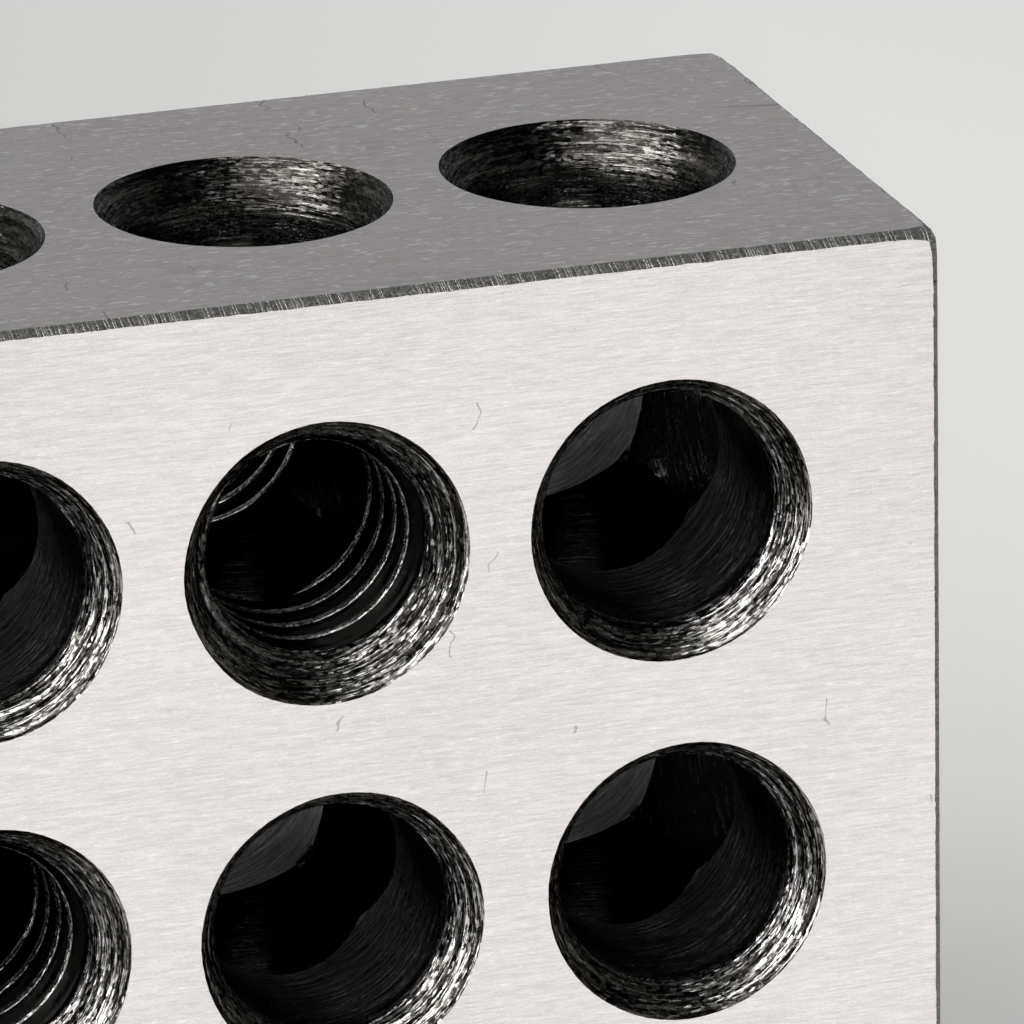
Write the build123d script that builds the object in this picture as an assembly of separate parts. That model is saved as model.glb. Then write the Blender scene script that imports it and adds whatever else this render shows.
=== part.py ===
"""Machinist's setup block: one hardened, ground steel block, bored through from three sides.

Frame: X runs along the length, Y through the thickness, Z up. The origin is the centre of the
narrow long face that the block stands on. All lengths are in millimetres.
"""

import os
from math import radians, tan

from build123d import *

# The block, ground square to its nominal one, two and three inches
block_length = 76.2
block_thickness = 25.4
block_height = 50.8
edge_chamfer = 0.3

# The holes of the broad face: the outer ones lie this far from the ends and the long edges
column_margin = 10.7
row_margin = 10.5
column_count = 5
row_count = 3

# The holes down through the long narrow face, spread a little wider and shifted to one side
top_margin = 10.3
top_shift = 0.4
top_count = 5

# The holes along the block have the spacing of the broad face's rows
end_count = row_count

# Bores and their countersunk mouths
plain_bore_diameter = 9.3
tap_drill_diameter = 8.1
mouth_diameter = 11.3
countersink_angle = 66.0

# Where the drill wandered off the grid: for (column, row), shares of one drift along and up
drill_drift = 0.4
drift_shares = {
    (4, 2): (-0.3, 0.2),
    (4, 1): (0.9, 0.7),
    (3, 2): (-0.3, 0.0),
    (3, 1): (0.5, 0.0),
    (2, 2): (-0.3, 0.1),
    (2, 1): (-0.3, 0.7),
}

# The tapped holes form a five spot: the four inner corners of the grid and its middle
tapped_places = {(1, 0), (3, 0), (2, 1), (1, 2), (3, 2)}

# A cutter stands past the faces that it goes through by this much
overrun = 1.0


def spread(size, margin, count):
    """Places of a row of holes along a size, evenly spaced between its two outer ones."""
    pitch = (size - 2 * margin) / (count - 1)
    return [index * pitch + margin - size / 2 for index in range(count)]


def bore_cutter(depth, bore_diameter):
    """A through bore along Z, centred on the origin, countersunk at both faces of a wall."""
    bore_radius = bore_diameter / 2
    mouth_radius = mouth_diameter / 2
    slope = tan(radians(countersink_angle / 2))
    sink_depth = (mouth_radius - bore_radius) / slope
    outer_radius = mouth_radius + overrun * slope
    face = depth / 2
    with BuildPart() as cutter:
        with BuildSketch(Plane.XZ):
            with BuildLine():
                Polyline(
                    (0, -face - overrun),
                    (outer_radius, -face - overrun),
                    (bore_radius, -face + sink_depth),
                    (bore_radius, face - sink_depth),
                    (outer_radius, face + overrun),
                    (0, face + overrun),
                    close=True,
                )
            make_face()
        revolve(axis=Axis.Z)
    return cutter.part


def face_holes():
    """Each hole of the broad face: where it is along and up, and the diameter it is bored to."""
    for column, along in enumerate(spread(block_length, column_margin, column_count)):
        for row, up in enumerate(spread(block_height, row_margin, row_count)):
            along_share, up_share = drift_shares.get((column, row), (0.0, 0.0))
            place = (along + along_share * drill_drift, up + up_share * drill_drift)
            tapped = (column, row) in tapped_places
            yield place, tap_drill_diameter if tapped else plain_bore_diameter


def make_block():
    """The ground block with its edges broken and every hole bored through."""
    middle = block_height / 2
    with BuildPart() as block:
        with Locations((0, 0, middle)):
            Box(block_length, block_thickness, block_height)
        chamfer(block.edges(), edge_chamfer)
        for (along, up), diameter in face_holes():
            with Locations(Location((along, 0, middle + up), (90, 0, 0))):
                add(bore_cutter(block_thickness, diameter), mode=Mode.SUBTRACT)
        for along in spread(block_length, top_margin, top_count):
            with Locations((along + top_shift, 0, middle)):
                add(bore_cutter(block_height, plain_bore_diameter), mode=Mode.SUBTRACT)
        for up in spread(block_height, row_margin, end_count):
            with Locations(Location((0, 0, middle + up), (0, 90, 0))):
                add(bore_cutter(block_length, plain_bore_diameter), mode=Mode.SUBTRACT)
    return block.part


os.makedirs("parts", exist_ok=True)
setup_block = make_block()
export_step(setup_block, "parts/setup_block.step")
print("setup_block volume", round(setup_block.volume), "faces", len(setup_block.faces()))
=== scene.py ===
# %% [markdown]
# A machinist's setup block, standing on its narrow long face.
# The real block is one piece of hardened steel. Its outside is ground flat on six sides, its edges are
# broken by hand, and twenty-three holes cross it from three directions. Each hole is countersunk at both
# mouths, and five of them are tapped.
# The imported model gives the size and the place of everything. This script makes the same block again with
# the marks that the tools left in it: torn rings in the countersinks, threads, nicked edges, and the fine
# lines of the grinding wheel.

import math
import random
from functools import partial
from itertools import combinations
from types import SimpleNamespace

import bmesh
import bpy
from mathutils import Matrix, Vector


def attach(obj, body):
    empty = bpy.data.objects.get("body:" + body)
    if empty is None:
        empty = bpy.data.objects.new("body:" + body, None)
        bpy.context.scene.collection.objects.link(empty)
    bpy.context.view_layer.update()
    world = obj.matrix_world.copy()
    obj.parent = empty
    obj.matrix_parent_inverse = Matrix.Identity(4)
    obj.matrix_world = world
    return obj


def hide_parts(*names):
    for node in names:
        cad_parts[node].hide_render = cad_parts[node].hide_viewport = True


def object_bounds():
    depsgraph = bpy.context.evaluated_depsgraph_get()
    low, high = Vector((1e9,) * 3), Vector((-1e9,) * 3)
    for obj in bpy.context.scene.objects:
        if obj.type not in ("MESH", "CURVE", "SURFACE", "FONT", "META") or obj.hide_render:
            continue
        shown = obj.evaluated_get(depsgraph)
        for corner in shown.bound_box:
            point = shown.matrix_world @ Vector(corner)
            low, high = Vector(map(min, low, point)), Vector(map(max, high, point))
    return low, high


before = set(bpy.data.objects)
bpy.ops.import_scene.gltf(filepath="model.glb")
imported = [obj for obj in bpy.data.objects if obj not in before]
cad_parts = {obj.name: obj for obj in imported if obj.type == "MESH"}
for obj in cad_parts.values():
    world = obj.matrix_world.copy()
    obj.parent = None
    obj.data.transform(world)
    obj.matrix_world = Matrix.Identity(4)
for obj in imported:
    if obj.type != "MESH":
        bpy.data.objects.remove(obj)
cad_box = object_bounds()
low, high = (Vector(corner) for corner in cad_box)
middle = (low + high) / 2
mm = 0.001
print("block measures", [round(side / mm, 2) for side in high - low], "mm")

# %% [markdown]
# Both kinds of node tree in this script, for shapes and for finishes, are sums of many small steps.
# Short helpers keep them readable. One sets or links an input, one adds a node and one adds a step of
# arithmetic. The others shorten what a tree does most.

# %% Helpers for node trees
def plug(tree, value, socket):
    if isinstance(value, bpy.types.NodeSocket):
        tree.links.new(value, socket)
    else:
        socket.default_value = value


def add_node(tree, kind, inputs=None, **settings):
    node = tree.nodes.new(kind)
    for name, value in settings.items():
        setattr(node, name, value)
    for name, value in (inputs or {}).items():
        plug(tree, value, node.inputs[name])
    return node


def calc(tree, operation, *values, clamp=False):
    node = add_node(tree, "ShaderNodeMath", operation=operation, use_clamp=clamp)
    for socket, value in zip(node.inputs, values):
        plug(tree, value, socket)
    return node.outputs[0]


def steps(tree, *operations):
    """One function for each named operation, tied to the tree."""
    return [partial(calc, tree, operation) for operation in operations]


def between(tree, share, first, second):
    """The first number where the share is 0 and the second where it is 1."""
    return calc(tree, "MULTIPLY_ADD", share, second - first, first)


def split(tree, vector):
    return add_node(tree, "ShaderNodeSeparateXYZ", {0: vector}).outputs


def join(tree, x=0.0, y=0.0, z=0.0):
    return add_node(tree, "ShaderNodeCombineXYZ", {"X": x, "Y": y, "Z": z}).outputs[0]


# %% Helpers for geometry nodes
def new_shape_tree(name, sockets):
    """An empty tree with one input of each given name and kind."""
    tree = bpy.data.node_groups.new(name, "GeometryNodeTree")
    for label, kind in [("Geometry", "Geometry"), *sockets]:
        tree.interface.new_socket(label, in_out="INPUT", socket_type="NodeSocket" + kind)
    tree.interface.new_socket("Geometry", in_out="OUTPUT", socket_type="NodeSocketGeometry")
    return tree, tree.nodes.new("NodeGroupInput").outputs, tree.nodes.new("NodeGroupOutput").inputs[0]


def keep(tree, geometry, name, value, data_type="FLOAT", domain="CORNER"):
    """Stores a value on the mesh under a name. On face corners it outlives the boolean steps."""
    inputs = {"Geometry": geometry, "Name": name, "Value": value}
    settings = {"data_type": data_type, "domain": domain}
    return add_node(tree, "GeometryNodeStoreNamedAttribute", inputs, **settings).outputs[0]


def kept(tree, name, data_type="FLOAT"):
    """Reads a value that the mesh carries under a name."""
    return add_node(tree, "GeometryNodeInputNamedAttribute", {"Name": name}, data_type=data_type).outputs[0]


def new_object(name, mesh):
    made = bpy.data.objects.new(name, mesh)
    bpy.context.scene.collection.objects.link(made)
    return made


def shape_with(tree, start_mesh, values):
    """The plain mesh that the tree makes from a starting mesh, with its inputs set by identifier."""
    carrier = new_object(tree.name, start_mesh)
    modifier = carrier.modifiers.new(tree.name, "NODES")
    modifier.node_group = tree
    for item in tree.interface.items_tree:
        if item.in_out == "INPUT" and item.name in values:
            modifier[item.identifier] = values[item.name]
    graph = bpy.context.evaluated_depsgraph_get()
    evaluated = carrier.evaluated_get(graph)
    mesh = bpy.data.meshes.new_from_object(evaluated, preserve_all_data_layers=True, depsgraph=graph)
    carrier.modifiers.remove(modifier)
    bpy.data.objects.remove(carrier)
    return mesh


def report_mesh(label, mesh):
    """Prints how many triangles a mesh has and how many of its edges are open."""
    check = bmesh.new()
    check.from_mesh(mesh)
    open_edges = sum(len(edge.link_faces) != 2 for edge in check.edges)
    mesh.calc_loop_triangles()
    print(label, len(mesh.loop_triangles), "triangles,", open_edges, "open edges")
    check.free()


# %% [markdown]
# The hole pattern is five columns by three rows on the wide faces, five holes down from the top and three
# in from the ends. The outer holes of a row keep a margin from the ends, and the others share the rest
# evenly. On the real block the drill wandered on a few holes, so these lie off the grid by a share of the
# drift. The tapped holes lie in the pattern of a five on a die.

# %% Hole places
column_margin, row_margin, top_margin = 10.7 * mm, 10.5 * mm, 10.3 * mm
column_count, row_count, top_count = 5, 3, 5
top_shift = 0.4 * mm
drill_drift = 0.4 * mm
drift_shares = {
    (4, 2): (-0.3, 0.2), (4, 1): (0.9, 0.7), (3, 2): (-0.3, 0.0),
    (3, 1): (0.5, 0.0), (2, 2): (-0.3, 0.1), (2, 1): (-0.3, 0.7),
}
tapped_places = {(1, 0), (3, 0), (2, 1), (1, 2), (3, 2)}


def spread(start, end, margin, count):
    """Evenly spaced places between two ends, the outer ones a margin away from them."""
    pitch = (end - start - 2 * margin) / (count - 1)
    return [start + margin + pitch * number for number in range(count)]


columns = spread(low.x, high.x, column_margin, column_count)
rows = spread(low.z, high.z, row_margin, row_count)
face_places = {}
for column, across in enumerate(columns):
    for row, up in enumerate(rows):
        aside, above = drift_shares.get((column, row), (0, 0))
        face_places[column, row] = (across + aside * drill_drift, middle.y, up + above * drill_drift)
plain_face_places = [place for key, place in face_places.items() if key not in tapped_places]
tapped_face_places = [place for key, place in face_places.items() if key in tapped_places]
top_columns = spread(low.x, high.x, top_margin, top_count)
top_places = [(across + top_shift, middle.y, middle.z) for across in top_columns]
end_places = [(middle.x, middle.y, up) for up in rows]
print(len(face_places) + len(top_places) + len(end_places), "holes")

# %% [markdown]
# A countersink is a cone, and its slope is how much the radius grows along the hole. The mouths on the top
# and in the ends are a little wider than the others. The thread has sixteen turns to the inch, and its
# roots reach out from the tap drill's wall to three eighths of an inch across.

# %% Bore sizes
inch = 25.4 * mm
plain_radius, tap_radius, mouth_radius = 9.3 * mm / 2, 8.1 * mm / 2, 11.3 * mm / 2
cross_mouth_radius = mouth_radius + 0.12 * mm
sink_slope = math.tan(math.radians(66) / 2)
thread_pitch = inch / 16
thread_depth = 3 / 8 * inch / 2 - tap_radius
print("bores", round(2 * plain_radius / mm, 2), "mm, mouths", round(2 * mouth_radius / mm, 2), "mm")

# %% [markdown]
# Each hole is cut by a body of its own shape, as a drill and a countersink would cut it. A lathe part could
# be spun from a profile, but a thread isn't a turned shape: its rows climb as they go round. So the cutter
# starts as a flat sheet of rows and columns that is rolled into a tube. One edge of the sheet is slid up by
# a whole number of rows before the two edges meet, and every row climbs as it goes round. On a plain hole
# the slide is a single row, which is how a drill marks its wall. The rows lie close together in the
# countersinks, where the light catches the torn rings, and far apart in the dark middle of the hole.

# %% Roll a sheet into a cutter
row_slack = 0.01
weld_distance = 1e-6


def climbing_rows(tree, given, turn_share, row):
    """The place along the tube, the height with closed ends, and 0 for rows drawn in at an end."""
    plus, minus, times, times_plus = steps(tree, "ADD", "SUBTRACT", "MULTIPLY", "MULTIPLY_ADD")
    turn_rows = given["Rows per turn"]
    climb = times_plus(turn_rows, turn_share, row)
    reach = times(minus(given["Rows"], turn_rows), 0.5)
    centred = minus(climb, plus(reach, turn_rows))
    to_end = calc(tree, "MAXIMUM", minus(reach, calc(tree, "ABSOLUTE", centred)), 0)
    fine = calc(tree, "MINIMUM", to_end, given["Fine rows"])
    coarse = minus(to_end, fine)
    from_end = times_plus(coarse, given["Coarse step"], times(fine, given["Fine step"]))
    along = times(calc(tree, "SIGN", centred), minus(given["Half length"], from_end))
    # Rows that would run past either end are drawn in to the middle of the end, which closes the tube.
    below = calc(tree, "LESS_THAN", climb, minus(turn_rows, row_slack))
    beyond = calc(tree, "GREATER_THAN", climb, plus(given["Rows"], row_slack))
    open_row = minus(1, plus(below, beyond))
    height = times_plus(minus(beyond, below), given["Half length"], times(along, open_row))
    return along, height, open_row


def wall_radius(tree, given, along, row):
    """The radius at a place along the hole: the countersink's cone, or the bore with its thread."""
    minus, times, size_of = steps(tree, "SUBTRACT", "MULTIPLY", "ABSOLUTE")
    depth = minus(given["Half wall"], size_of(along))
    cone = minus(given["Mouth radius"], times(depth, given["Sink slope"]))
    in_pitch = calc(tree, "FRACT", calc(tree, "DIVIDE", row, given["Rows per turn"]))
    off_root = size_of(minus(in_pitch, 0.5))
    groove = minus(given["Flank reach"], times(off_root, given["Flank slope"]), clamp=True)
    bore = calc(tree, "MULTIPLY_ADD", groove, given["Thread depth"], given["Bore radius"])
    return calc(tree, "MAXIMUM", cone, bore)


def rolled_sheet(tree, given):
    """A closed tube along Z whose radius follows the bore, the countersinks and the thread."""
    plus, times = steps(tree, "ADD", "MULTIPLY")
    counts = {"Vertices X": plus(given["Around"], 1), "Vertices Y": plus(given["Rows"], 1)}
    sheet = add_node(tree, "GeometryNodeMeshGrid", {"Size X": 1.0, "Size Y": 1.0, **counts})
    flat_place = split(tree, add_node(tree, "GeometryNodeInputPosition").outputs[0])
    turn_share = plus(flat_place["X"], 0.5)
    row = calc(tree, "ROUND", times(plus(flat_place["Y"], 0.5), given["Rows"]))
    along, height, open_row = climbing_rows(tree, given, turn_share, row)
    radius = times(wall_radius(tree, given, along, row), open_row)
    angle = times(turn_share, 2 * math.pi)
    across = [times(radius, calc(tree, kind, angle)) for kind in ("COSINE", "SINE")]
    rolled = {"Geometry": sheet.outputs[0], "Position": join(tree, *across, height)}
    tube = add_node(tree, "GeometryNodeSetPosition", rolled).outputs[0]
    welded = {"Geometry": tube, "Distance": weld_distance}
    return add_node(tree, "GeometryNodeMergeByDistance", welded).outputs[0]


# %% [markdown]
# A tool that rubs leaves rings that are torn here and there. At a countersink's rim the tears show in the
# outline, so they are real and not a bump. A noise that is stretched round the hole and squeezed along it
# moves each point in or out. Every hole has a number of its own in it, so that no two holes are alike.

# %% Tear the walls
tear_swings_around, tear_swings_along = 0.3 / mm, 2.6 / mm
bore_tear_share = 0.35
sink_blend = 0.3 * mm
least_radius = 0.1 * mm


def torn_walls(tree, given, tubes):
    """Moves each point of the tubes in or out, fully in the countersinks and less in the bores."""
    plus, minus, times, divide = steps(tree, "ADD", "SUBTRACT", "MULTIPLY", "DIVIDE")
    place = split(tree, kept(tree, "bore_place", "FLOAT_VECTOR"))
    swings = (tear_swings_around, tear_swings_around, tear_swings_along)
    stretched = join(tree, *(times(place[axis], swing) for axis, swing in zip("XYZ", swings)))
    inputs = {"Vector": stretched, "W": kept(tree, "bore_number"), "Scale": 1.0, "Detail": 2.0}
    noise = add_node(tree, "ShaderNodeTexNoise", inputs, noise_dimensions="4D").outputs[0]
    radius = calc(tree, "SQRT", plus(times(place["X"], place["X"]), times(place["Y"], place["Y"])))
    off_wall = calc(tree, "MAXIMUM", radius, least_radius)
    in_sink = divide(minus(radius, given["Bore radius"]), sink_blend, clamp=True)
    strength = times(given["Tear"], between(tree, in_sink, bore_tear_share, 1.0))
    push = divide(times(minus(noise, 0.5), strength), off_wall)
    outward = join(tree, times(place["X"], push), times(place["Y"], push))
    turned = add_node(tree, "FunctionNodeRotateVector", {"Vector": outward, "Rotation": given["Turn"]})
    moved = {"Geometry": tubes, "Offset": turned.outputs[0]}
    return add_node(tree, "GeometryNodeSetPosition", moved).outputs[0]


# %% [markdown]
# One tree makes all the cutters of a kind: a copy of the tube at each hole, turned and torn. The place of
# each point on its own cutter, its depth below the mouth and the hole's number stay on the mesh, because
# the finish of the walls follows them later.

# %% Put the cutters at their places
number_range = 40.0
cutter_sizes = (
    "Fine rows", "Fine step", "Coarse step", "Half length", "Half wall", "Bore radius", "Mouth radius",
    "Sink slope", "Thread depth", "Flank slope", "Flank reach", "Tear",
)


def hole_number(tree, seed):
    """A chance number for each hole, by which its noises differ from those of the others."""
    chance = add_node(tree, "FunctionNodeRandomValue", {"Seed": seed}, data_type="FLOAT")
    sockets = [socket for socket in chance.inputs if socket.name == "Max" and socket.type == "VALUE"]
    plug(tree, number_range, sockets[0])
    return next(socket for socket in chance.outputs if socket.type == "VALUE")


def make_cutter_tree():
    counts = [(name, "Int") for name in ("Around", "Rows", "Rows per turn", "Seed")]
    sizes = [(name, "Float") for name in cutter_sizes]
    sockets = counts + sizes + [("Turn", "Rotation"), ("Finish", "Material")]
    tree, given, result = new_shape_tree("bore_cutters", sockets)
    tube = rolled_sheet(tree, given)
    place = add_node(tree, "GeometryNodeInputPosition").outputs[0]
    tube = keep(tree, tube, "bore_place", place, data_type="FLOAT_VECTOR")
    along = calc(tree, "ABSOLUTE", split(tree, place)["Z"])
    tube = keep(tree, tube, "mouth_depth", calc(tree, "SUBTRACT", given["Half wall"], along))
    number = hole_number(tree, given["Seed"])
    points = keep(tree, given["Geometry"], "bore_number", number, domain="POINT")
    copies = {"Points": points, "Instance": tube, "Rotation": given["Turn"]}
    placed = add_node(tree, "GeometryNodeInstanceOnPoints", copies).outputs[0]
    real = add_node(tree, "GeometryNodeRealizeInstances", {"Geometry": placed}).outputs[0]
    torn = torn_walls(tree, given, real)
    numbered = keep(tree, torn, "bore_number", kept(tree, "bore_number"))
    smooth = add_node(tree, "GeometryNodeSetShadeSmooth", {"Geometry": numbered}).outputs[0]
    dressed = {"Geometry": smooth, "Material": given["Finish"]}
    tree.links.new(add_node(tree, "GeometryNodeSetMaterial", dressed).outputs[0], result)
    return tree


cutter_tree = make_cutter_tree()
print("cutter tree has", len(cutter_tree.nodes), "nodes")

# %% [markdown]
# The finishes come before the shapes here, because what a cutter has cut keeps the material of the cutter.
# Steel has no colour of its own beyond a faint warmth in what it reflects, and its look is all in its
# roughness and its fine relief.

# %% Helpers for finishes
noise_low, noise_high = 0.3, 0.7


def new_finish(name, metallic=1.0):
    made = bpy.data.materials.new(name)
    made.use_nodes = True
    surface = made.node_tree.nodes["Principled BSDF"]
    surface.inputs["Metallic"].default_value = metallic
    return made, made.node_tree, surface


def object_place(tree):
    return add_node(tree, "ShaderNodeTexCoord").outputs["Object"]


def attribute(tree, name, output="Fac"):
    return add_node(tree, "ShaderNodeAttribute", attribute_name=name).outputs[output]


def noise_on(tree, vector, scales, detail=2.0, roughness=0.5, offset=(0, 0, 0)):
    """Noise on a vector in metres; scales are how many swings it makes in a millimetre along each axis."""
    scaling = {"Vector": vector, "Location": offset, "Scale": [scale / mm for scale in scales]}
    mapped = add_node(tree, "ShaderNodeMapping", scaling).outputs[0]
    inputs = {"Vector": mapped, "Scale": 1.0, "Detail": detail, "Roughness": roughness}
    return add_node(tree, "ShaderNodeTexNoise", inputs).outputs[0]


def remap(tree, value, from_low, from_high, to_low, to_high):
    """Carries a value from one range to another, and holds it at the range's ends."""
    ranges = {"From Min": from_low, "From Max": from_high, "To Min": to_low, "To Max": to_high}
    return add_node(tree, "ShaderNodeMapRange", {"Value": value, **ranges}).outputs[0]


def spread_noise(tree, noise, to_low, to_high):
    """A noise hardly leaves the middle of its range, so that middle is spread over the new one."""
    return remap(tree, noise, noise_low, noise_high, to_low, to_high)


def blend_colour(tree, share, first, second):
    mix = add_node(tree, "ShaderNodeMix", data_type="RGBA")
    plug(tree, share, mix.inputs[0])
    for value, socket in ((first, mix.inputs[6]), (second, mix.inputs[7])):
        plug(tree, value if isinstance(value, bpy.types.NodeSocket) else (*value, 1), socket)
    return mix.outputs[2]


def add_relief(tree, steel, height, depth):
    bump = add_node(tree, "ShaderNodeBump", {"Height": height, "Distance": depth, "Strength": 1.0})
    tree.links.new(bump.outputs[0], steel.inputs["Normal"])


def chance_cells(tree, inputs, dimensions="3D"):
    """Cells of uneven shape, with three chance numbers for each cell: Red, Green and Blue."""
    cells = add_node(tree, "ShaderNodeTexVoronoi", inputs, voronoi_dimensions=dimensions).outputs
    return cells, add_node(tree, "ShaderNodeSeparateColor", {0: cells["Color"]}).outputs


def from_cell_middle(tree, cells, place):
    inputs = {0: place, 1: cells["Position"]}
    return split(tree, add_node(tree, "ShaderNodeVectorMath", inputs, operation="SUBTRACT").outputs[0])


# %% [markdown]
# A ground block gets hair-thin marks in use, where a chip slid over it. They are dark, a little crooked,
# and run across the grain. Nobody would tell which is where, so space is cut into uneven cells, and a cell
# holds one mark through its middle or none, by chance. One longer scratch near the end of the top face is
# easy to see, so that one is drawn in its own place.

# %% Marks on ground steel
mark_spacing, mark_length, mark_bend = 4.6 * mm, 0.9 * mm, 0.9 * mm
mark_core, mark_edge = 0.015 * mm, 0.042 * mm
mark_share, least_mark = 0.36, 0.3
scratch_start = Vector((high.x - 3.8 * mm, middle.y + 5.4 * mm, high.z))
scratch_end = Vector((high.x - 0.3 * mm, middle.y + 4.6 * mm, high.z))
scratch_width = 0.12 * mm


def hair_marks(tree, place, on_flat):
    """Thin crooked marks across the grain. On the faces that lie flat they are twice as long."""
    plus, minus, times, times_plus = steps(tree, "ADD", "SUBTRACT", "MULTIPLY", "MULTIPLY_ADD")
    size_of = partial(calc, tree, "ABSOLUTE")
    cells, chance = chance_cells(tree, {"Vector": place, "Scale": 1 / mark_spacing})
    local = from_cell_middle(tree, cells, place)
    bend = minus(noise_on(tree, place, (1.4, 1.4, 1.4), detail=1.0, offset=(4, 4, 4)), 0.5)
    aside = times_plus(minus(chance["Green"], 0.5), local["Z"], local["X"])
    off_line = size_of(times_plus(bend, mark_bend, aside))
    along_flat = times(size_of(local["Y"]), on_flat)
    off_middle = times_plus(size_of(local["Z"]), minus(1.0, on_flat), along_flat)
    half = times(plus(chance["Blue"], least_mark), between(tree, on_flat, mark_length / 2, mark_length))
    near = calc(tree, "LESS_THAN", off_middle, half)
    drawn = calc(tree, "LESS_THAN", chance["Red"], mark_share)
    return times(remap(tree, off_line, mark_core, mark_edge, 1.0, 0.0), times(near, drawn))


def long_scratch(tree, place):
    """The straight scratch on the top face, which grows stronger towards the end of the block."""
    minus, times = steps(tree, "SUBTRACT", "MULTIPLY")
    parts = split(tree, place)
    reach = scratch_end.x - scratch_start.x
    slope = (scratch_end.y - scratch_start.y) / reach
    along = minus(parts["X"], scratch_start.x)
    aside = minus(minus(parts["Y"], scratch_start.y), times(along, slope))
    line = remap(tree, calc(tree, "ABSOLUTE", aside), scratch_width / 3, scratch_width, 1.0, 0.0)
    return times(line, remap(tree, along, 0.0, reach, 0.0, 1.0))


# %% [markdown]
# A grinding wheel leaves straight fine lines along the block. They are a coarse and a fine noise, drawn
# out along X and packed close along Z. The relief is only some thousandths of a millimetre, so it is a
# bump, and the same noises move the colour between two tones. On the two end faces the grain would point
# straight at the eye, so there X and Y change places. Short bright dashes are painted highlights. They are
# put into the colour where a line would catch the light, and they are much stronger on the faces that lie
# flat, the top and the bottom.

# %% Ground steel
ground_dark, ground_light = (0.56, 0.536, 0.53), (0.83, 0.795, 0.786)
# The first colour here is the painted highlight of the bright dashes. The second is the dark of the hair
# marks.
painted_highlight_colour, mark_colour = (0.98, 0.97, 0.96), (0.20, 0.195, 0.19)
wheel_lines, fine_lines = (0.8, 5, 12), (2.2, 11, 26)
wide_patches, short_glints = (0.05, 0.1, 0.1), (1.8, 5.5, 13)
glint_from, glint_to = 0.62, 0.68
line_tone, fine_tone, patch_tone = 0.28, 0.16, 0.08
line_height, fine_share = 0.006 * mm, 0.5
glint_strengths, mark_strengths = (0.25, 0.95), (0.6, 0.9)
skin = 0.02 * mm


def grain_place(tree, straight, parts):
    """The place that the grain follows, with X and Y changed on the end faces."""
    turned = join(tree, parts["Y"], parts["X"], parts["Z"])
    pick = add_node(tree, "ShaderNodeMix", data_type="VECTOR")
    plug(tree, attribute(tree, "end_face"), pick.inputs[0])
    plug(tree, straight, pick.inputs[4])
    plug(tree, turned, pick.inputs[5])
    return pick.outputs[1]


def make_ground_finish():
    made, tree, steel = new_finish("ground_faces")
    plus, minus, times = steps(tree, "ADD", "SUBTRACT", "MULTIPLY")
    straight = object_place(tree)
    parts = split(tree, straight)
    place = grain_place(tree, straight, parts)
    lines = noise_on(tree, place, wheel_lines, detail=3.0, roughness=0.6)
    fine = noise_on(tree, place, fine_lines, offset=(3, 1, 2))
    patches = noise_on(tree, place, wide_patches, offset=(9, 4, 6))
    glints = noise_on(tree, place, short_glints, detail=1.0, offset=(7, 5, 1))
    glints = remap(tree, glints, glint_from, glint_to, 0.0, 1.0)
    on_top = calc(tree, "GREATER_THAN", parts["Z"], high.z - skin)
    off_centre = calc(tree, "ABSOLUTE", minus(parts["Z"], middle.z))
    on_flat = calc(tree, "GREATER_THAN", off_centre, (high.z - low.z) / 2 - skin)
    scratch = times(on_top, long_scratch(tree, straight))
    marks = plus(hair_marks(tree, place, on_flat), scratch, clamp=True)
    add_relief(tree, steel, calc(tree, "MULTIPLY_ADD", fine, fine_share, lines), line_height)
    coarse_lines = spread_noise(tree, lines, -line_tone, line_tone)
    tone = plus(coarse_lines, spread_noise(tree, fine, -fine_tone, fine_tone))
    tone = plus(tone, spread_noise(tree, patches, 0.5 - patch_tone, 0.5 + patch_tone), clamp=True)
    shade = blend_colour(tree, tone, ground_dark, ground_light)
    # Painted highlights: short bright dashes in the colour, much stronger on the top and bottom than on the
    # sides.
    shade = blend_colour(tree, times(glints, between(tree, on_flat, *glint_strengths)), shade, painted_highlight_colour)
    shade = blend_colour(tree, times(marks, between(tree, on_flat, *mark_strengths)), shade, mark_colour)
    tree.links.new(shade, steel.inputs["Base Color"])
    tree.links.new(spread_noise(tree, fine, 0.22, 0.32), steel.inputs["Roughness"])
    return made


ground_finish = make_ground_finish()
print("ground finish has", len(ground_finish.node_tree.nodes), "nodes")

# %% [markdown]
# The broken edges were filed across, which leaves short ticks side by side. The blank carries the run along
# its edges as an attribute, because no straight axis follows all twelve of them. Each cell of that run is
# one tick, bright or faint by chance. The edges of the right end are darker, which is painted shade in
# their colour.

# %% Broken edges
# The last colour is a painted shade for the edges of the right end.
edge_crevice, edge_ridge, shaded_crevice = (0.34, 0.333, 0.32), (0.74, 0.73, 0.71), (0.06, 0.058, 0.055)
ticks, tick_core, tick_edge, tick_power = 9.5 / mm, 0.03, 0.16, 1.3
tick_height, tick_crook = 0.012 * mm, 0.10 * mm
speckle_from, speckle_to, speckle_tone, speckle_share = 0.35, 0.65, 0.6, 0.5


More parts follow.
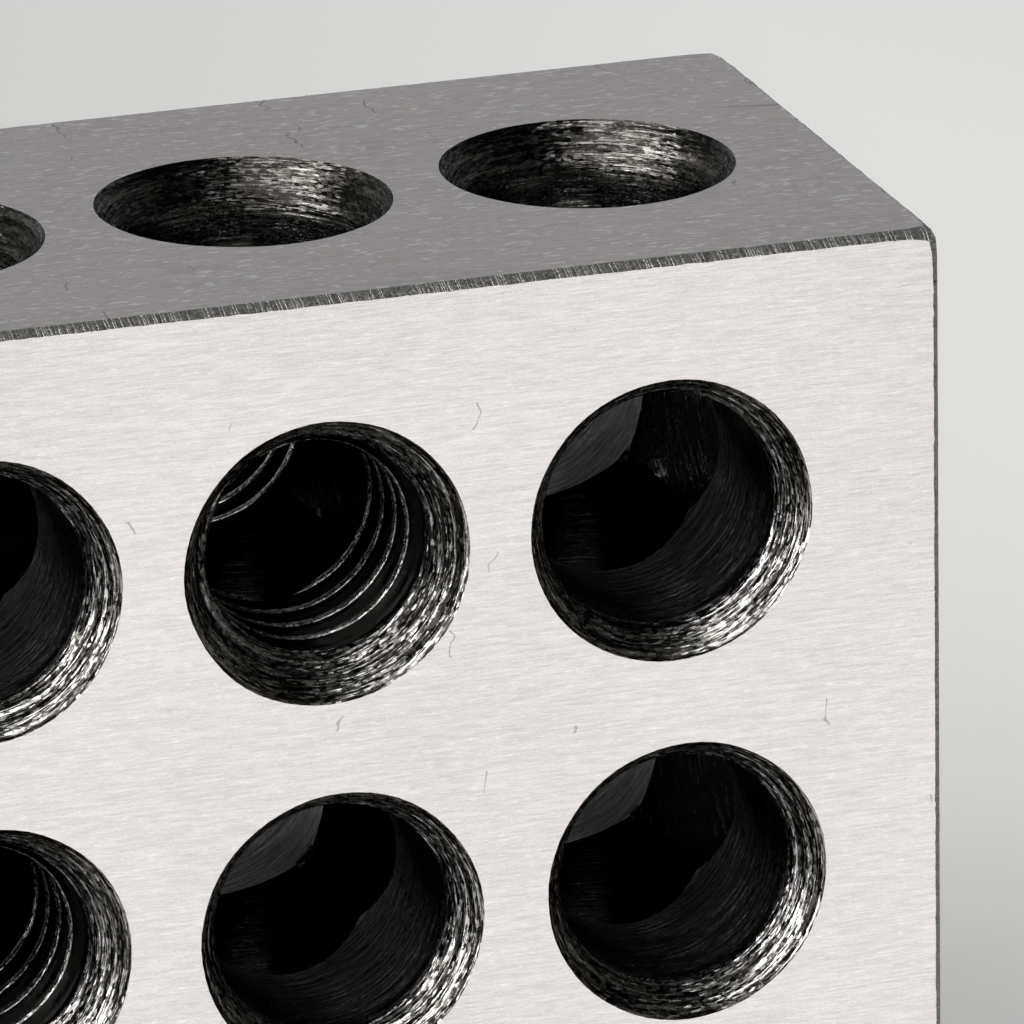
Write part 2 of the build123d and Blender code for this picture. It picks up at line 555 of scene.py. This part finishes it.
def make_edge_finish():
    made, tree, steel = new_finish("filed_edges")
    plus, times = steps(tree, "ADD", "MULTIPLY")
    run = attribute(tree, "edge_run")
    speckle = noise_on(tree, object_place(tree), (9, 9, 9), detail=3.0, roughness=0.6)
    crooked = calc(tree, "MULTIPLY_ADD", speckle, tick_crook, run)
    cells, chance = chance_cells(tree, {"W": crooked, "Scale": ticks}, "1D")
    tick = remap(tree, cells["Distance"], tick_core, tick_edge, 1.0, 0.0)
    tick = times(tick, calc(tree, "POWER", chance["Red"], tick_power))
    add_relief(tree, steel, plus(tick, times(speckle, speckle_share)), tick_height)
    tone = plus(tick, remap(tree, speckle, speckle_from, speckle_to, 0.0, speckle_tone), clamp=True)
    filed = blend_colour(tree, tone, edge_crevice, edge_ridge)
    # Painted shade: a darker copy of the filed tones for the edges of the right end.
    right_end_shade = blend_colour(tree, tone, shaded_crevice, edge_crevice)
    shade = blend_colour(tree, attribute(tree, "dull_edge"), filed, right_end_shade)
    tree.links.new(shade, steel.inputs["Base Color"])
    tree.links.new(spread_noise(tree, speckle, 0.30, 0.45), steel.inputs["Roughness"])
    return made


edge_finish = make_edge_finish()
print("edge finish has", len(edge_finish.node_tree.nodes), "nodes")

# %% [markdown]
# The countersinks are bright and dark at once. The tool tore the steel into rings of small broken planes,
# each of which throws the light another way, and dark dirt sits between them. So the wall has noises that
# are stretched round the hole, for rings, scores and tears, and cells whose planes are tilted by chance.
# All of them follow the place on the cutter, so they turn with each hole. Behind the countersink the bore
# is dark, and the deeper it goes the darker its colour, a painted shade. Only the inner edges of the thread
# are worn bright.

# %% What a place on a wall is like
ring_swings, score_swings, tear_swings = (0.25, 0.25, 3.8), (0.5, 0.5, 16), (6.0, 6.0, 10.0)
hole_step = 3 * mm
chips_around, chips_along = 3.4 / mm, 13.0 / mm
chip_lean, chip_pitch = 1.7, 0.65
on_cone, off_cone = 0.08 * mm, 0.2 * mm
worn_full, worn_none = tap_radius + 0.02 * mm, tap_radius + 0.10 * mm


def broken_chips(tree, parts, number, mouth, wave):
    """The relief of small planes, each tilted by chance, and a chance number for each of them."""
    plus, minus, times, times_plus = steps(tree, "ADD", "SUBTRACT", "MULTIPLY", "MULTIPLY_ADD")
    run = times(calc(tree, "ARCTAN2", parts["Y"], parts["X"]), mouth * chips_around)
    place = join(tree, plus(run, number), times_plus(parts["Z"], chips_along, wave))
    cells, chance = chance_cells(tree, {"Vector": place, "Scale": 1.0}, "2D")
    off = from_cell_middle(tree, cells, place)
    lean = times(minus(chance["Red"], 0.5), off["X"])
    pitch = times(minus(chance["Green"], 0.5), off["Y"])
    return times_plus(lean, chip_lean, times(pitch, chip_pitch)), chance["Blue"]


def wall_values(tree, mouth):
    """The noises at a place on a wall, and how far it is part of the countersink or of a worn crest."""
    place = attribute(tree, "bore_place", "Vector")
    number = attribute(tree, "bore_number")
    depth = attribute(tree, "mouth_depth")
    parts = split(tree, place)
    flat = join(tree, parts["X"], parts["Y"])
    radius = add_node(tree, "ShaderNodeVectorMath", {0: flat}, operation="LENGTH").outputs["Value"]
    apart = join(tree, calc(tree, "MULTIPLY", number, hole_step))
    own_place = add_node(tree, "ShaderNodeVectorMath", {0: place, 1: apart}, operation="ADD").outputs[0]
    rings = noise_on(tree, own_place, ring_swings, detail=3.0, roughness=0.6)
    past_cone = calc(tree, "SUBTRACT", calc(tree, "MULTIPLY_ADD", depth, sink_slope, radius), mouth)
    chips, chip_chance = broken_chips(tree, parts, number, mouth, rings)
    return SimpleNamespace(
        along=parts["Z"], depth=depth, rings=rings, chips=chips, chip_chance=chip_chance,
        scores=noise_on(tree, own_place, score_swings, offset=(2, 8, 3)),
        tears=noise_on(tree, own_place, tear_swings, detail=3.0, roughness=0.65, offset=(5, 2, 7)),
        sink=remap(tree, calc(tree, "ABSOLUTE", past_cone), on_cone, off_cone, 1.0, 0.0),
        worn=remap(tree, radius, worn_full, worn_none, 1.0, 0.0),
    )


# %% Relief and colour of the walls
wall_height = 0.045 * mm
ring_from, ring_to, ring_rise = 0.34, 0.66, 0.85
ridge_from, ridge_to = 0.46, 0.575
gap_level, gap_core, gap_edge, gap_share = 0.52, 0.008, 0.03, 0.12
tear_share, score_height, score_tone, ring_tone, chip_tone = 0.2, 0.25, 0.2, 0.5, 0.1
sink_relief, worn_relief, bore_relief = 0.8, 0.6, 0.2
sink_crevice, worn_steel = (0.018, 0.017, 0.015), (0.85, 0.83, 0.80)
# Painted shade: between these depths the bore's colour and its scores darken.
dark_from, dark_to, dark_share = 3.0 * mm, 7.0 * mm, 0.06


def wall_relief(tree, wall):
    """Steps, scores, tears and chips, full in the countersink and slight in the bore."""
    times, times_plus = steps(tree, "MULTIPLY", "MULTIPLY_ADD")
    rings = remap(tree, wall.rings, ring_from, ring_to, 0.0, ring_rise)
    height = times_plus(wall.tears, tear_share, times_plus(wall.scores, score_height, rings))
    height = calc(tree, "ADD", height, wall.chips)
    share = times_plus(wall.worn, worn_relief, bore_relief)
    share = times_plus(wall.sink, sink_relief, share, clamp=True)
    return times(height, share)


def sink_colour(tree, wall, ridge_colour):
    """Bright ridges on dark steel, with a thin dark gap wherever the rings cross one level."""
    times, times_plus = steps(tree, "MULTIPLY", "MULTIPLY_ADD")
    ridge = times_plus(wall.scores, score_tone, times(wall.rings, ring_tone))
    ridge = times_plus(wall.chip_chance, chip_tone, times_plus(wall.tears, tear_share, ridge))
    off_level = calc(tree, "ABSOLUTE", calc(tree, "SUBTRACT", wall.rings, gap_level))
    gap = remap(tree, off_level, gap_core, gap_edge, gap_share, 1.0)
    share = times(remap(tree, ridge, ridge_from, ridge_to, 0.0, 1.0), gap)
    return blend_colour(tree, share, sink_crevice, ridge_colour)


def bore_colour(tree, wall, colour, scratch_share):
    """A dark wall that turns darker with the depth, a painted shade, with bright scores in it and bright worn
    crests.
    """
    times = partial(calc, tree, "MULTIPLY")
    # Painted shade: deeper in the bore, its colour and its scores turn darker.
    depth_shade = remap(tree, wall.depth, dark_from, dark_to, 1.0, dark_share)
    scored = remap(tree, wall.scores, 0.54, 0.66, 0.0, scratch_share)
    drawn = times(times(scored, remap(tree, wall.tears, 0.42, 0.6, 0.0, 1.0)), depth_shade)
    patchy = remap(tree, wall.tears, 0.35, 0.6, 0.1, 1.0)
    bright = calc(tree, "MULTIPLY_ADD", wall.worn, patchy, drawn, clamp=True)
    darker = [part * dark_share for part in colour]
    return blend_colour(tree, bright, blend_colour(tree, depth_shade, darker, colour), worn_steel)


# %% [markdown]
# A metal seen at a grazing angle turns into a mirror, and a bore is only ever seen at such an angle. Dirt
# on a real wall dulls that. The shader's tint of grazing light does the same here, dark on dull steel and
# white on clean steel. Which parts are clean was set by how lit each part of a wall looks, so those
# choices are painted light and shade. The plain bores of the wide faces are the cleanest, most of all in
# their back half. The countersinks of the crossing holes are clean, and the rest is dulled.

# %% Cut walls
grazing_tint, clean_tint = (0.30, 0.29, 0.28), (1, 1, 1)
half_blend = 2 * mm


def grazing_colour(tree, wall, lit_shares):
    """The tint at grazing angles, from the lit shares of the countersink, the front and the back half:
    painted light and shade.
    """
    times, times_plus = steps(tree, "MULTIPLY", "MULTIPLY_ADD")
    lit_sink, lit_front, lit_back = lit_shares
    streaks = remap(tree, times_plus(wall.tears, 0.3, wall.scores), 0.5, 0.8, 0.6, 1.2)
    lit = times(remap(tree, wall.along, -half_blend, half_blend, lit_back, lit_front), streaks)
    in_bore = times(lit, calc(tree, "SUBTRACT", 1.0, wall.sink))
    return blend_colour(tree, times_plus(wall.sink, lit_sink, in_bore), grazing_tint, clean_tint)


def make_wall_finish(name, mouth, sink_ridge, inside_colour, scratch_share, lit_shares):
    """Torn rings in the countersink and a dark bore behind it, with its innermost edges worn bright."""
    made, tree, steel = new_finish(name)
    wall = wall_values(tree, mouth)
    add_relief(tree, steel, wall_relief(tree, wall), wall_height)
    inside = bore_colour(tree, wall, inside_colour, scratch_share)
    shade = blend_colour(tree, wall.sink, inside, sink_colour(tree, wall, sink_ridge))
    tree.links.new(shade, steel.inputs["Base Color"])
    tree.links.new(grazing_colour(tree, wall, lit_shares), steel.inputs["Specular Tint"])
    tree.links.new(remap(tree, wall.chip_chance, 0.0, 1.0, 0.15, 0.30), steel.inputs["Roughness"])
    return made


# The three wall finishes are one steel. How dark each kind of hole is inside, and how bright the ridges of
# its countersinks are, was set apart by how light each kind of hole looks, so these differences are painted
# light and shade. The crossing holes' darker ridges are a painted shade on their highlights, and the
# near-black tapped walls are a painted shade over the lamps' reflection in their flanks.
bright_ridge, shaded_ridge = (0.48, 0.467, 0.44), (0.155, 0.149, 0.139)
face_wall_finish = make_wall_finish(
    "face_bore_walls", mouth_radius, bright_ridge, inside_colour=(0.028, 0.028, 0.027),
    scratch_share=0.5, lit_shares=(0.0, 0.55, 1.0))
thread_finish = make_wall_finish(
    "tapped_walls", mouth_radius, bright_ridge, inside_colour=(0.003, 0.003, 0.0028),
    scratch_share=0.0, lit_shares=(0.0, 0.0, 0.0))
cross_wall_finish = make_wall_finish(
    "cross_bore_walls", cross_mouth_radius, shaded_ridge, inside_colour=(0.050, 0.048, 0.045),
    scratch_share=0.40, lit_shares=(1.0, 0.0, 0.0))
finishes = (ground_finish, edge_finish, face_wall_finish, thread_finish, cross_wall_finish)
print("finishes:", [finish.name for finish in finishes])

# %% [markdown]
# Now the cutters are made, one set for each kind of hole. They reach a little past the faces, so that no
# cut ends on one. A tapped hole has a smaller bore, a depth of thread, and eight rows to each turn.

# %% Drill, countersink and tap
around = 60
thread_rows = 8
fine_step = 0.115 * mm
overrun = 0.2 * mm
tear = 0.18 * mm
flank_slope, flank_reach = 4.0, 1.6


def cut_points(name, places):
    mesh = bpy.data.meshes.new(name)
    mesh.from_pydata(places, [], [])
    return mesh


def make_cutters(name, places, half_wall, turn, coarse_step, seed, finish=face_wall_finish,
                 mouth=mouth_radius, bore_radius=plain_radius, turn_rows=1, depth=0.0):
    fine_rows = math.ceil(((mouth - plain_radius) / sink_slope + overrun) / fine_step)
    coarse_rows = math.ceil((half_wall + overrun - fine_rows * fine_step) / coarse_step)
    values = {
        "Around": around, "Rows": 2 * (fine_rows + coarse_rows) + turn_rows, "Rows per turn": turn_rows,
        "Fine rows": float(fine_rows), "Fine step": fine_step, "Coarse step": coarse_step,
        "Half length": fine_rows * fine_step + coarse_rows * coarse_step, "Half wall": half_wall,
        "Bore radius": bore_radius, "Mouth radius": mouth, "Sink slope": sink_slope,
        "Thread depth": depth, "Flank slope": flank_slope, "Flank reach": flank_reach,
        "Tear": tear, "Turn": turn, "Seed": seed, "Finish": finish,
    }
    mesh = shape_with(cutter_tree, cut_points(name, places), values)
    report_mesh(name, mesh)
    return new_object(name, mesh)


half = (high - low) / 2
across_block, along_block, down_block = (math.pi / 2, 0, 0), (0, math.pi / 2, 0), (0, 0, 0)
tapped = {"finish": thread_finish, "bore_radius": tap_radius, "turn_rows": thread_rows, "depth": thread_depth}
crossing = {"finish": cross_wall_finish, "mouth": cross_mouth_radius}
cutters = [
    make_cutters("face_bores", plain_face_places, half.y, across_block, 0.8 * mm, seed=3),
    make_cutters("tapped_bores", tapped_face_places, half.y, across_block, thread_pitch / thread_rows,
                 seed=5, **tapped),
    make_cutters("top_bores", top_places, half.z, down_block, 1.0 * mm, seed=7, **crossing),
    make_cutters("end_bores", end_places, half.x, along_block, 1.2 * mm, seed=9, **crossing),
]

# %% [markdown]
# The blank is a box with its edges broken. A bevel tool would give twelve perfect flats. On the real block
# they were filed and stoned by hand, so each flat is a strip of short facets whose borders wander a little.
# The borders move only within the two faces that they join, and those faces stay flat. Towards a corner the
# flats flare out. A side of the box is written as its axis and its sign, so the front is (1, -1).

# %% Sizes of the broken edges
sides = [(axis, sign) for axis in range(3) for sign in (-1, 1)]
front, back, top, right = (1, -1), (1, 1), (2, 1), (0, 1)
usual_leg = 0.26 * mm
edge_legs = {
    (front, top): 0.24 * mm, (top, front): 0.52 * mm, (front, right): 0.24 * mm, (right, front): 0.20 * mm,
}
corner_legs = {
    (top, right, back): 0.56 * mm, (right, top, back): 0.50 * mm, (top, back, right): 0.40 * mm,
    (back, right, top): 0.36 * mm, (right, back, top): 0.36 * mm,
}
corner_flare, flare_length = 0.16 * mm, 0.5 * mm
facet_lengths = [length * mm for length in (0.08, 0.16, 0.34, 0.55)]
facet_stretch, last_facet = (0.8, 1.3), 0.2 * mm
border_wander = 0.010 * mm
crown, corner_crown = (0.012 * mm, 0.007 * mm), 0.06 * mm
run_gap = 1 * mm


def leg_on(side, other, end):
    """How far the broken edge towards another side reaches into this one, at the corner with the end side."""
    return corner_legs.get((side, other, end), edge_legs.get((side, other), usual_leg)) + corner_flare


# %% Points of the blank
def corner_points(shape):
    """A point on each side at each of its four corners, found by the side and the two others that meet it."""
    points = {}
    for side in sides:
        for first, second in combinations(sides, 2):
            if len({side[0], first[0], second[0]}) < 3:
                continue
            place = [0.0, 0.0, 0.0]
            place[side[0]] = (low, high)[side[1] > 0][side[0]]
            for other, end in ((first, second), (second, first)):
                wall = (low, high)[other[1] > 0][other[0]]
                place[other[0]] = wall - other[1] * leg_on(side, other, end)
            points[side, frozenset((first, second))] = shape.verts.new(place)
    return points


def facet_shares(chance, length):
    """Where the facets of one edge meet, as shares of its length."""
    shares, reached = [0.0], 0.0
    while True:
        reached += chance.choice(facet_lengths) * chance.uniform(*facet_stretch)
        if reached > length - last_facet:
            return shares + [1.0]
        shares.append(reached / length)


def edge_lines(shape, chance, corners, first, second):
    """Three lines of points along an edge: a border on each of its two sides and a ridge between them."""
    along = 3 - first[0] - second[0]
    pairs = ((first, second), (second, first))
    starts = {side: corners[side, frozenset((other, (along, -1)))] for side, other in pairs}
    stops = {side: corners[side, frozenset((other, (along, 1)))] for side, other in pairs}
    length = (stops[first].co - starts[first].co).length
    shares = facet_shares(chance, length)
    lines = {first: [], second: [], "ridge": []}
    for share in shares:
        flare = math.exp(-min(share, 1 - share) * length / flare_length)
        for side, other in pairs:
            if share in (0.0, 1.0):
                lines[side].append((starts if share == 0.0 else stops)[side])
                continue
            place = starts[side].co.lerp(stops[side].co, share)
            place[other[0]] += other[1] * (corner_flare * (1 - flare) + chance.gauss(0, border_wander))
            lines[side].append(shape.verts.new(place))
        lift = Vector((0, 0, 0))
        for axis, sign in (first, second):
            lift[axis] = sign
        ridge = (lines[first][-1].co + lines[second][-1].co) / 2
        ridge += lift * (abs(chance.gauss(*crown)) + corner_crown * flare)
        lines["ridge"].append(shape.verts.new(ridge))
    return lines, [share * length for share in shares]


# %% Faces of the blank
def add_facets(shape, lines, runs, first, second, layers):
    """Two strips of facets along an edge, which know how far along all the edges they lie."""
    for upper, lower in ((lines[first], lines["ridge"]), (lines["ridge"], lines[second])):
        for here in range(len(runs) - 1):
            face = shape.faces.new((upper[here], upper[here + 1], lower[here + 1], lower[here]))
            face.material_index = finishes.index(edge_finish)
            for loop, number in zip(face.loops, (here, here + 1, here + 1, here)):
                loop[layers["edge_run"]] = runs[number]
                # Edges that touch the right end carry the painted shade.
                loop[layers["dull_edge"]] = float(right in (first, second))


def add_side(shape, side, lines, layers):
    """The flat face of one side, whose outline is chained together from four borders."""
    outline, left = list(lines[0]), lines[1:]
    while left:
        for line in left:
            if line[0] is outline[-1]:
                outline += line[1:]
                break
            if line[-1] is outline[-1]:
                outline += line[-2::-1]
                break
        left.remove(line)
    for loop in shape.faces.new(outline[:-1]).loops:
        loop[layers["end_face"]] = float(side[0] == 0)


def add_corner(shape, corners, key, ridge_ends):
    """Six small faces round the tip of a corner, which stands out a little."""
    a, b, c = sorted(key)
    ring = []
    for first, second, third in ((a, b, c), (b, c, a), (c, a, b)):
        ring.append(corners[first, frozenset((second, third))])
        ring += [point for pair, point in ridge_ends if pair == {first, second}]
    tip = sum((corners[one, frozenset(key - {one})].co for one in key), Vector()) / 3
    tip = shape.verts.new(tip + Vector((a[1], b[1], c[1])) * corner_crown)
    for here, point in enumerate(ring):
        face = shape.faces.new((point, ring[(here + 1) % len(ring)], tip))
        face.material_index = finishes.index(edge_finish)


def make_blank():
    chance = random.Random(11)
    shape = bmesh.new()
    layers = {name: shape.loops.layers.float.new(name) for name in ("edge_run", "end_face", "dull_edge")}
    corners = corner_points(shape)
    borders = {side: [] for side in sides}
    ridge_ends = {}
    start_run = 0.0
    for first, second in combinations(sides, 2):
        if first[0] == second[0]:
            continue
        lines, runs = edge_lines(shape, chance, corners, first, second)
        add_facets(shape, lines, [start_run + run for run in runs], first, second, layers)
        start_run += runs[-1] + run_gap
        for side in (first, second):
            borders[side].append(lines[side])
        along = 3 - first[0] - second[0]
        for sign, index in ((-1, 0), (1, -1)):
            key = frozenset((first, second, (along, sign)))
            ridge_ends.setdefault(key, []).append(({first, second}, lines["ridge"][index]))
    for side in sides:
        add_side(shape, side, borders[side], layers)
    for key, ends in ridge_ends.items():
        add_corner(shape, corners, key, ends)
    bmesh.ops.recalc_face_normals(shape, faces=shape.faces)
    mesh = bpy.data.meshes.new("blank")
    shape.to_mesh(mesh)
    shape.free()
    for finish in finishes:
        mesh.materials.append(finish)
    return mesh


blank = make_blank()
report_mesh("blank", blank)

# %% [markdown]
# The holes cross inside the block, and the edges where one hole meets another are what one sees in the dark
# behind each mouth. So the cutters are taken away from the blank one set after the other, as solid bodies.
# The boolean step that is made for closed meshes is quick, keeps attributes and leaves a closed mesh. Edges
# that bend sharply are shaded sharp, but inside a thread only the sharpest are, so its flanks look smooth.

# %% Cut the holes
crease, thread_crease, thread_starts = math.radians(32), math.radians(66), 1.7 * mm


def make_boring_tree(labels):
    sockets = [(label, "Object") for label in labels]
    sockets += [(label, "Float") for label in ("Crease", "Thread crease", "Thread starts")]
    tree, given, result = new_shape_tree("bored_block", sockets)
    block = given["Geometry"]
    for label in labels:
        info = add_node(tree, "GeometryNodeObjectInfo", {"Object": given[label]})
        cut = add_node(tree, "GeometryNodeMeshBoolean", operation="DIFFERENCE", solver="MANIFOLD")
        tree.links.new(block, cut.inputs["Mesh 1"])
        tree.links.new(info.outputs["Geometry"], cut.inputs["Mesh 2"])
        block = cut.outputs[0]
    bend = add_node(tree, "GeometryNodeInputMeshEdgeAngle").outputs["Unsigned Angle"]
    inside = calc(tree, "GREATER_THAN", kept(tree, "mouth_depth"), given["Thread starts"])
    more = calc(tree, "SUBTRACT", given["Thread crease"], given["Crease"])
    sharp = calc(tree, "GREATER_THAN", bend, calc(tree, "MULTIPLY_ADD", inside, more, given["Crease"]))
    inputs = {"Geometry": block, "Selection": sharp, "Shade Smooth": False}
    creased = add_node(tree, "GeometryNodeSetShadeSmooth", inputs, domain="EDGE")
    tree.links.new(creased.outputs[0], result)
    return tree


cutter_labels = [f"Cutters {number}" for number in range(1, len(cutters) + 1)]
boring_values = dict(zip(cutter_labels, cutters))
boring_values.update({"Crease": crease, "Thread crease": thread_crease, "Thread starts": thread_starts})
block_mesh = shape_with(make_boring_tree(cutter_labels), blank, boring_values)
report_mesh("bored block", block_mesh)
for cutter in cutters:
    bpy.data.objects.remove(cutter)

# %% Hand the block to the frame
block = new_object("ground_block", block_mesh)
print("materials", [slot.name for slot in block_mesh.materials], [a.name for a in block_mesh.attributes])
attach(block, "root")
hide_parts("setup_block")

# %% [markdown]
# The stage is a pale floor that runs far past the picture. The camera looks down on the block, so the floor
# is all of the background. It is lighter to the right and in front, and darker far away. Lamps could do
# that only by lighting the block as well, so this light and shade are painted into the floor's colour.

# %% Floor
floor_half = 2.0
far_tones = (0.59, 0.584, 0.577), (0.80, 0.795, 0.787)
near_tones = (0.77, 0.764, 0.755), (0.97, 0.964, 0.954)
distant_tone = (0.60, 0.595, 0.59)
far_from, far_to = 30 * mm, 95 * mm
near_from, near_to = -20 * mm, 50 * mm
behind_to = 40 * mm
distance_from, distance_to = 280 * mm, 600 * mm


def make_floor_finish():
    finish, tree, paint = new_finish("pale_floor", metallic=0.0)
    paint.inputs["Roughness"].default_value = 0.8
    place = object_place(tree)
    parts = split(tree, place)
    # Painted light and shade: the floor is lighter to the right and in front, and darker far away.
    far_tone = blend_colour(tree, remap(tree, parts["X"], far_from, far_to, 0.0, 1.0), *far_tones)
    near_tone = blend_colour(tree, remap(tree, parts["X"], near_from, near_to, 0.0, 1.0), *near_tones)
    behind = remap(tree, parts["Y"], low.y, behind_to, 0.0, 1.0)
    tone = blend_colour(tree, behind, near_tone, far_tone)
    away = add_node(tree, "ShaderNodeVectorMath", {0: place}, operation="LENGTH").outputs["Value"]
    tone = blend_colour(tree, remap(tree, away, distance_from, distance_to, 0.0, 1.0), tone, distant_tone)
    tree.links.new(tone, paint.inputs["Base Color"])
    return finish


def make_floor():
    shape = bmesh.new()
    bmesh.ops.create_grid(shape, x_segments=1, y_segments=1, size=floor_half)
    mesh = bpy.data.meshes.new("floor")
    shape.to_mesh(mesh)
    shape.free()
    mesh.materials.append(make_floor_finish())
    return new_object("floor", mesh)


make_floor()

# %% [markdown]
# Two large soft lamps stand to the left. The front face mirrors them by its grain and turns nearly white.
# The top face mirrors the sky behind the block, which is dim, so it stays grey, as in the photograph.

# %% Soft lamps
lamp_distance = 0.9


def soft_lamp(name, towards, target, size, power):
    lamp = bpy.data.lights.new(name, "AREA")
    lamp.shape = "RECTANGLE"
    lamp.size, lamp.size_y = size
    lamp.energy = power
    made = new_object(name, lamp)
    made.location = middle + Vector(towards).normalized() * lamp_distance
    made.rotation_euler = (Vector(target) - made.location).to_track_quat("-Z", "Y").to_euler()


soft_lamp("left_lamp", (-0.90, -0.26, 0.38), target=(0.05, -0.10, 0.0), size=(0.75, 0.65), power=10.0)
soft_lamp("upper_lamp", (-0.45, -0.50, 0.74), target=(0.05, -0.15, 0.0), size=(1.0, 1.0), power=11.4)
print("lamps", [light.name for light in bpy.data.lights])

# %% Sky
overhead_from, overhead_to, overhead_level = 0.1, 0.95, 0.15
front_edge, back_edge, front_level, back_level = -0.4, 0.8, 0.05, 0.45


def make_world():
    """A dim sky that is darker overhead and in front, and lighter low down behind the block."""
    world = bpy.data.worlds.new("studio")
    bpy.context.scene.world = world
    world.use_nodes = True
    tree = world.node_tree
    sky = tree.nodes["Background"]
    parts = split(tree, add_node(tree, "ShaderNodeTexCoord").outputs["Generated"])
    overhead = remap(tree, parts["Z"], overhead_from, overhead_to, 1.0, overhead_level)
    behind = remap(tree, parts["Y"], front_edge, back_edge, front_level, back_level)
    level = calc(tree, "MULTIPLY", overhead, behind)
    tree.links.new(blend_colour(tree, level, (0, 0, 0), (1, 1, 1)), sky.inputs["Color"])
    sky.inputs["Strength"].default_value = 1.0


make_world()

# %% [markdown]
# The camera stands where the photographer's did, a little to the left of the block and above it, with a
# long lens. It looks at a point near the upper right corner of the front face.

# %% Camera
camera_azimuth, camera_elevation, camera_roll = math.radians(17.59), math.radians(18.96), math.radians(-0.87)
camera_distance = 488.5 * mm
picture_centre = Vector((high.x - 17.2 * mm, low.y, high.z - 9.3 * mm))
sensor_width, lens_length = 36.0, 453.5
far_clip = 10.0


def make_camera():
    data = bpy.data.cameras.new("camera")
    data.sensor_width = sensor_width
    data.lens = lens_length
    data.clip_end = far_clip
    made = new_object("camera", data)
    flat = math.cos(camera_elevation)
    left, forth = -math.sin(camera_azimuth) * flat, -math.cos(camera_azimuth) * flat
    back = Vector((left, forth, math.sin(camera_elevation)))
    made.location = picture_centre + back * camera_distance
    turn = back.to_track_quat("Z", "Y").to_matrix() @ Matrix.Rotation(camera_roll, 3, "Z")
    made.rotation_euler = turn.to_euler()
    bpy.context.scene.camera = made
    return made


camera = make_camera()
print("camera at", [round(value, 4) for value in camera.location])
bpy.context.scene.view_settings.view_transform = "Standard"
